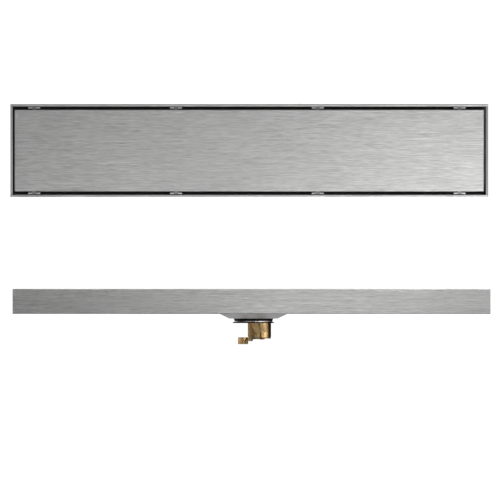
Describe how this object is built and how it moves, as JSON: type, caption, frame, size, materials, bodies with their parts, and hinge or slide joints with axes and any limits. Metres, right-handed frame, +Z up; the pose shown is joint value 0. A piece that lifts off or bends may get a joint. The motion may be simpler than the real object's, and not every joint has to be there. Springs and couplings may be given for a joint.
{
  "type": "linear floor drain grate",
  "caption": "Linear shower drain with a solid lift-out cover in a folded steel channel, a hair strainer and a brass odour-trap core with a weighted flap under its outlet.",
  "frame": {"origin": "on the outlet axis, at mid height of the seal's lower lip, where the waste pipe takes hold", "axes": "+X along the channel, +Z up towards the cover, +Y towards the rear long side"},
  "size_m": [0.6, 0.1166, 0.0696],
  "materials": {
    "tray_steel": "fine brushed along the length",
    "cover_steel": "fine brushed along the length",
    "pressed_steel": "satin, pressed",
    "bracket_steel": "mill finish",
    "spacer_steel": "turned",
    "strainer_steel": "polished",
    "pin_steel": "drawn",
    "cast_brass": "cast, lightly machined",
    "turned_brass": "turned",
    "seal_rubber": "matt",
    "pad_rubber": "matt"
  },
  "bodies": {
    "tray": {"channel_shell": "tray_steel", "end_wall_left": "tray_steel", "end_wall_right": "tray_steel", "sump_dish": "pressed_steel", "rest_brackets_front": "bracket_steel", "rest_brackets_rear": "bracket_steel", "rest_pads_front": "pad_rubber", "rest_pads_rear": "pad_rubber", "core_cup": "turned_brass", "flange_gasket": "seal_rubber", "upper_lip_seal": "seal_rubber", "seal_spacer_ring": "spacer_steel", "lower_lip_seal": "seal_rubber", "core_horn": "cast_brass", "hinge_pin": "pin_steel"},
    "cover": {"cover_panel": "cover_steel", "cover_bearers": "bracket_steel", "locating_tongues_front": "bracket_steel", "locating_tongues_rear": "bracket_steel"},
    "strainer": {"strainer_cup": "strainer_steel", "strainer_rim": "strainer_steel", "strainer_knob": "strainer_steel"},
    "flap": {"flap_lever": "cast_brass", "flap_disc": "turned_brass", "flap_gasket": "seal_rubber", "flap_rivet": "turned_brass", "counterweight": "turned_brass", "weight_screw": "pin_steel"}
  },
  "joints": [
    {"name": "cover_lift", "type": "slide", "parent": "tray", "child": "cover", "axis": [0, 0, 1], "range_m": [0, 0.1]},
    {"name": "strainer_lift", "type": "slide", "parent": "tray", "child": "strainer", "axis": [0, 0, 1], "range_m": [0, 0.022]},
    {"name": "flap_swing", "type": "hinge", "parent": "tray", "child": "flap", "pos_m": [-0.0028, 0, -0.0213], "axis": [0, 1, 0], "range_deg": [0, 55]}
  ]
}
